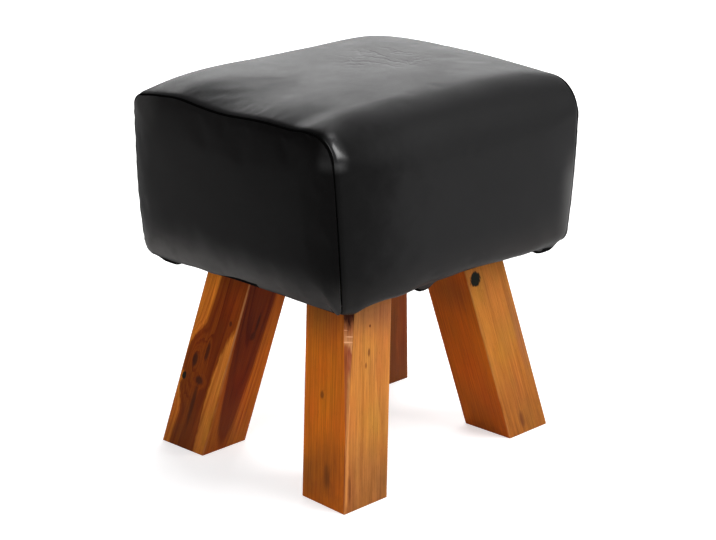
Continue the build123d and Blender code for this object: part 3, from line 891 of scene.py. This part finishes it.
band_columns = 104
column_crowding = 1.15
roll_depth = 0.0016
roll_width = 0.0018
seam_close = 0.0009
seam_close_reach = 0.01
seam_wave_reach = 0.07
hem_reach = 0.012
slow_wave = 0.0003
pucker_height = 0.0003
band_points = []
for i in range(band_columns + 1):
    t = 2 * i / band_columns - 1
    share = math.copysign(1 - (1 - abs(t)) ** column_crowding, t)
    lifted = smooth(share, -1.0, -0.75) * (1 - 0.6 * smooth(share, -0.6, 0.0) + 0.6 * smooth(share, 0.3, 1.0))
    foam_lifted = smooth(share, 0.2, 0.9)
    outline = seat_outline(share)
    for point, normal in zip(outline, outline_normals(outline)):
        reach = seam_x(point.y) - welt_width / 2
        x = share * reach
        from_seam = reach - abs(x)
        by_top_seam = top_seam_share(point.y)
        dip = roll_depth * math.exp(-(from_seam / roll_width) ** 1.4)
        closed = seam_close * (1 - by_top_seam) * math.exp(-from_seam / seam_close_reach)
        x += math.copysign(closed, x)
        y = point.x - normal.x * dip
        z = point.y - normal.y * dip
        if x < 0:
            z += seam_wave(-1, point.x) * by_top_seam * bell(from_seam, 0.0, seam_wave_reach)
            z += hem_left(point.x, point.y) * bell(from_seam, 0.0, hem_reach)
        raised = risen(point.x, right_seam_lift) * lifted + risen(point.x, right_foam_lift) * foam_lifted
        z += raised * by_top_seam
        if point.x < 0:
            inset = seat_half_depth + point.x
            z += hem_front(x, point.y) * (1 - smooth(inset, 0.01, 0.018))
            z -= folds(x, front_folds) * bell(inset, *front_fold_inset) * hem_share(point.y * 3)
        pucker = bell(from_seam, 0.012, 0.014) * surface_noise((0, y * 3, z * 3), 0.02, 3.1)
        pucker *= smooth(from_seam, 0.0, 0.006) * pucker_height
        waves = surface_noise((x, y, z), 0.06, 1.7) * slow_wave + pucker
        z -= corner_drop(x, y, point.y)
        pull = corner_pull * pulled_in(x, y, z)
        z += seat_bottom + normal.y * waves
        band_points.append(Vector((x + pull, y + normal.x * waves - pull, z)))
rows = len(outline)
band_faces = [
    (i * rows + j, (i + 1) * rows + j, (i + 1) * rows + j + 1, i * rows + j + 1)
    for i in range(band_columns) for j in range(rows - 1)
]
band = finished("leather_band", mesh_from("leather_band", band_points, band_faces),
                [cover_leather, edge_leather])
turned_in = seat_half_depth - 0.011
flesh_top = seat_bottom + 0.004
hanging_top = seat_bottom - 0.001
for face in band.data.polygons:
    x, y, z = face.center
    if z < flesh_top and (abs(y) < turned_in or z < hanging_top):
        face.material_index = 1
least_hold = 0.02
firmness = []
for vertex in band.data.vertices:
    h = vertex.co.z - seat_bottom
    from_seam = seam_x(h) - welt_width / 2 - abs(vertex.co.x)
    loose = smooth(from_seam, 0.001, 0.01) * smooth(h, 0.001, 0.012)
    firmness.append(1.0 - loose * (1 - least_hold))
settle(band, firmness, growth=0.0003, cap=0.0005)
thicken(band, leather, 1)
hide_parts("cover_band")


# Leather cover, end panels
# Two panels of the same leather close the ends. Each is sewn to the band along its top and sides,
# swells over the foam, and has a flap that turns under the base board.

end_swell = 0.0095
swell_reach = 0.016
panel_side_count = 44
panel_top_count = 72
panel_crowding = 0.6
panel_sunk = 0.0018
panel_sunk_top = 0.0012
panel_wave = 0.0005
flap_rows = 8
flap_gap = 0.0002


def along_line(points, count, crowd):
    """Points spread along a line, closer together near its ends."""
    lengths = [0.0]
    for a, b in zip(points, points[1:]):
        lengths.append(lengths[-1] + (b - a).length)
    spaced = []
    k = 0
    for i in range(count + 1):
        t = i / count
        target = (t - crowd * math.sin(2 * math.pi * t) / (2 * math.pi)) * lengths[-1]
        while k < len(points) - 2 and lengths[k + 1] < target:
            k += 1
        part = (target - lengths[k]) / max(lengths[k + 1] - lengths[k], 1e-9)
        spaced.append(points[k].lerp(points[k + 1], min(max(part, 0.0), 1.0)))
    return spaced


def end_panel(name, side):
    """Mesh of one end panel: side is -1 for the left end and 1 for the right."""
    outline = seat_outline(side, 0.0)
    edge = [p - n * (panel_sunk + panel_sunk_top * top_seam_share(p.y))
            for p, n in zip(outline, outline_normals(outline))]
    counts = outline_counts
    low_front = counts["under"] + counts["low"] // 2
    high_front = counts["under"] + counts["low"] + counts["side"] + counts["top"] // 2
    high_back = len(edge) - 1 - high_front
    low_back = len(edge) - 1 - low_front
    bottom = edge[:low_front + 1][::-1] + edge[low_back:][::-1]
    left = along_line(edge[low_front:high_front + 1], panel_side_count, panel_crowding)
    right = along_line(edge[high_back:low_back + 1][::-1], panel_side_count, panel_crowding)
    top = along_line(edge[high_front:high_back + 1], panel_top_count, panel_crowding)
    floor_line = along_line(bottom, panel_top_count, panel_crowding)
    border = edge[low_front:low_back + 1] + floor_line[::-1]
    points = []
    for j in range(panel_side_count + 1):
        v = j / panel_side_count
        for i in range(panel_top_count + 1):
            u = i / panel_top_count
            ruled = floor_line[i] * (1 - v) + top[i] * v + left[j] * (1 - u) + right[j] * u
            lowest = left[0] * (1 - u) + right[0] * u
            highest = left[-1] * (1 - u) + right[-1] * u
            point = ruled - (lowest * (1 - v) + highest * v)
            near = min((point - b).length for b in border)
            rise = end_swell * (1 - math.exp(-near / swell_reach))
            x = side * (seam_x(point.y) + welt_width / 2 + rise)
            z = point.y
            z += seam_wave(side, point.x) * smooth(point.y, 0.12, 0.185) * bell(near, 0.0, 0.05)
            if side < 0:
                z += hem_left(point.x, point.y)
            waves = surface_noise((x, point.x, z), 0.045, 5.3) * panel_wave * smooth(near, 0.0, 0.02)
            pull = corner_pull * pulled_in(x, point.x, z)
            z -= corner_drop(x, point.x, point.y)
            points.append(Vector((x + side * waves + pull, point.x - pull, seat_bottom + z)))
    wide = panel_top_count + 1
    faces = [
        (j * wide + i, j * wide + i + 1, (j + 1) * wide + i + 1, (j + 1) * wide + i)
        for j in range(panel_side_count) for i in range(panel_top_count)
    ]
    flat_half = seat_half_depth - bottom_radius - 0.001
    columns = [i for i in range(wide) if abs(floor_line[i].x) < flat_half]
    last = columns
    for k in range(1, flap_rows + 1):
        start = len(points)
        for i in columns:
            base = points[i]
            inset = return_width * k / flap_rows
            hang = folds(base.y, left_folds) * bell(inset, *left_fold_inset) if side < 0 else 0.0
            points.append(Vector((base.x - side * inset, base.y, seat_bottom + flap_gap - hang)))
        now = list(range(start, start + len(columns)))
        faces += [(last[c], last[c + 1], now[c + 1], now[c]) for c in range(len(columns) - 1)]
        last = now
    mesh = mesh_from(name, points, faces)
    firmness = []
    for vertex in mesh.vertices:
        flat_place = Vector((vertex.co.y, vertex.co.z - seat_bottom))
        near = min((flat_place - b).length for b in border)
        under = abs(vertex.co.x) < seam_x(0) + welt_width / 2
        firmness.append(1.0 if under else 1.0 - (1 - least_hold) * smooth(near, 0.001, 0.012))
    return mesh, firmness


for word, side in (("left", -1), ("right", 1)):
    mesh, firmness = end_panel("leather_end_" + word, side)
    panel = finished("leather_end_" + word, mesh, [end_leather, edge_leather])
    for face in panel.data.polygons:
        if face.center.z < flesh_top and abs(face.center.x) < seam_x(0):
            face.material_index = 1
    settle(panel, firmness, growth=0.001, cap=0.001)
    thicken(panel, leather, 1)
    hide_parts("cover_" + word)


# Welts
# A folded strip of the same leather is caught in each end seam and stands a little proud of it.
# It runs over the top and down both edges of the end panel, and turns under at the bottom.

welt_proud = 0.0022
welt_sunk = 0.0031
welt_root = 0.0016
welt_deeper = 0.0014
welt_end_sunk = 0.006
welt_fill = 0.96
welt_unevenness = 0.12
welt_places = 420
welt_steps = 9


def welt_strip(name, side):
    """Mesh of one welt: a rounded strip swept along an end seam."""
    outline = seat_outline(side, seat_half_depth - bottom_radius - 0.004)
    line = along_line(outline, welt_places, 0.0)
    points = []
    for point, normal in zip(line, outline_normals(line)):
        uneven = 1 + welt_unevenness * surface_noise((side * 0.2, point.x, point.y), 0.012, 2.2)
        by_top_seam = top_seam_share(point.y)
        sunk = welt_sunk + welt_deeper * (1 - by_top_seam) + welt_end_sunk * smooth(point.y, 0.02, 0.006)
        for k in range(welt_steps):
            angle = math.pi * k / (welt_steps - 1)
            out_by = welt_proud * uneven * math.sin(angle) ** 0.7 - welt_root * (k in (0, welt_steps - 1))
            spot = point + normal * (out_by - sunk)
            x = side * (seam_x(point.y) + welt_width / 2 * welt_fill * math.cos(angle))
            z = spot.y + seam_wave(side, point.x) * by_top_seam - corner_drop(x, spot.x, point.y)
            if side < 0:
                z += hem_left(spot.x, point.y)
            pull = corner_pull * pulled_in(x, spot.x, spot.y)
            points.append(Vector((x + pull, spot.x - pull, seat_bottom + z)))
    faces = []
    for i in range(len(line) - 1):
        for k in range(welt_steps):
            n = (k + 1) % welt_steps
            a = i * welt_steps
            b = a + welt_steps
            faces.append((a + k, b + k, b + n, a + n))
    faces.append(tuple(range(welt_steps)))
    faces.append(tuple(reversed(range(len(points) - welt_steps, len(points)))))
    return mesh_from(name, points, faces)


for word, side in (("left", -1), ("right", 1)):
    strip = finished("leather_welt_" + word, welt_strip("leather_welt_" + word, side), [edge_leather])
    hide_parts("welt_" + word)


# Dust cover
# A sheet of thin black spun cloth, stapled under the base board to close the seat from below.
# It is cut out round the legs.

material, place = new_material("spun_cloth")
weave = times(cloudy(place, (900, 260, 900), 4.0, 0.7), cloudy(place, (260, 900, 900), 4.0, 0.7))
cloth_tint = blend_colours(weave, (0.008, 0.008, 0.008, 1), (0.05, 0.05, 0.05, 1))
surface({"Base Color": cloth_tint, "Roughness": 0.9}, weave, 0.0003, 0.5)
dress(material, "dust_cover")

dust_size = (0.304, 0.271)
dust_top = 0.2289
dust_thickness = 0.0005
dust_sag = 0.0025
dust_leg_gap = 0.0015
dust_cells = (60, 54)
dust_ripple = 0.0006
leg_reach = 0.07

cloth = bmesh.new()
bmesh.ops.create_grid(cloth, x_segments=dust_cells[0], y_segments=dust_cells[1], size=0.5)
for vertex in cloth.verts:
    vertex.co = Vector((vertex.co.x * dust_size[0], vertex.co.y * dust_size[1], dust_top))
for foot, across, over, along in leg_frames:
    leg_middle = (foot + along * dust_top).xy
    half_sides = [(direction, half_mm * 0.001 + dust_leg_gap)
                  for direction, half_mm in ((across, half_thick_mm), (over, half_wide_mm))]
    for direction, half_side in half_sides:
        for sign in (-1, 1):
            near_leg = [face for face in cloth.faces
                        if (face.calc_center_median().xy - leg_middle).length < leg_reach]
            edges = list({edge for face in near_leg for edge in face.edges})
            corners = list({vertex for face in near_leg for vertex in face.verts})
            bmesh.ops.bisect_plane(cloth, geom=near_leg + edges + corners, dist=0.000005,
                                   plane_co=foot + direction * sign * half_side, plane_no=direction)
    cut_out = []
    for face in cloth.faces:
        from_foot = face.calc_center_median() - foot
        if all(abs(from_foot.dot(direction)) < half_side for direction, half_side in half_sides):
            cut_out.append(face)
    bmesh.ops.delete(cloth, geom=cut_out, context="FACES")
dust_area = sum(face.calc_area() for face in cloth.faces)
for vertex in cloth.verts:
    across_share = 2 * vertex.co.x / dust_size[0]
    along_share = 2 * vertex.co.y / dust_size[1]
    slack = (1 - across_share ** 2) * (1 - along_share ** 2)
    ripple = abs(surface_noise((vertex.co.x, vertex.co.y, 0), 0.05, 7.9)) * smooth(slack, 0.0, 0.4)
    vertex.co.z -= dust_sag * slack + dust_ripple * ripple
dust_mesh = bpy.data.meshes.new("dust_cloth")
cloth.to_mesh(dust_mesh)
cloth.free()
dust_cloth = finished("dust_cloth", dust_mesh, [material])
thicken(dust_cloth, dust_thickness)
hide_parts("dust_cover")


# Floor, light and camera
# A plain white floor under soft studio light, and the camera at the photograph's angle.

material = bpy.data.materials.new("studio_floor")
material.use_nodes = True
tree = material.node_tree
shader = tree.nodes["Principled BSDF"]
feed(shader.inputs, {"Base Color": (0.8, 0.8, 0.8, 1), "Roughness": 0.9, "Specular IOR Level": 0.0})
rays = tree.nodes.new("ShaderNodeLightPath").outputs
seen = maths("MAXIMUM", rays["Is Camera Ray"], rays["Is Glossy Ray"], rays["Is Transmission Ray"])
glow = add("ShaderNodeEmission", {"Color": (1, 1, 1, 1), "Strength": times(seen, 0.5)})
both = add("ShaderNodeAddShader", {0: shader.outputs[0], 1: glow.outputs[0]})
tree.links.new(both.outputs[0], tree.nodes["Material Output"].inputs["Surface"])
floor_half = 8.0
floor_mesh = bpy.data.meshes.new("studio_floor")
floor_mesh.from_pydata([(-floor_half, -floor_half, 0), (floor_half, -floor_half, 0),
                        (floor_half, floor_half, 0), (-floor_half, floor_half, 0)], [], [(0, 1, 2, 3)])
floor_mesh.materials.append(material)
studio_floor = new_object("studio_floor", floor_mesh)

world = bpy.data.worlds.new("studio")
bpy.context.scene.world = world
world.use_nodes = True
background = world.node_tree.nodes["Background"].inputs
feed(background, {"Color": (0.32, 0.32, 0.33, 1), "Strength": 1.0})


def soft_box(name, place, aim, width, height, power):
    """A studio lamp with a flat white front, aimed at a point."""
    lamp = bpy.data.lights.new(name, "AREA")
    lamp.shape = "RECTANGLE"
    lamp.size = width
    lamp.size_y = height
    lamp.energy = power
    box = new_object(name, lamp)
    box.location = place
    box.rotation_euler = (Vector(aim) - Vector(place)).to_track_quat("-Z", "Y").to_euler()


stool_middle = (0, 0, 0.25)
seat_middle = (0, 0, 0.4)
soft_box("key_light", (1.3, -2.15, 1.85), stool_middle, 2.0, 2.0, 85)
soft_box("fill_light", (-2.4, -0.9, 1.5), stool_middle, 1.6, 1.6, 25.5)
soft_box("back_light", (1.75, 2.0, 1.2), seat_middle, 1.9, 0.9, 44)
soft_box("sky_light", (1.75, 0.6, 1.95), seat_middle, 1.2, 1.2, 20)

image_width = 716
focal_pixels = 2071.72
eye = bpy.data.cameras.new("photo_view")
eye.sensor_width = 36.0
eye.lens = focal_pixels / image_width * eye.sensor_width
camera = new_object("photo_view", eye)
forward = Vector((0.66994, 0.67111, -0.31747)).normalized()
upright = Vector((0.22305, 0.22591, 0.94827))
sideways = forward.cross(upright).normalized()
upright = sideways.cross(forward)
camera.matrix_world = Matrix.Translation((-1.60362, -1.60730, 0.96288)) @ Matrix(
    (sideways, upright, -forward)).transposed().to_4x4()
bpy.context.scene.camera = camera

bpy.context.scene.view_settings.view_transform = "Standard"
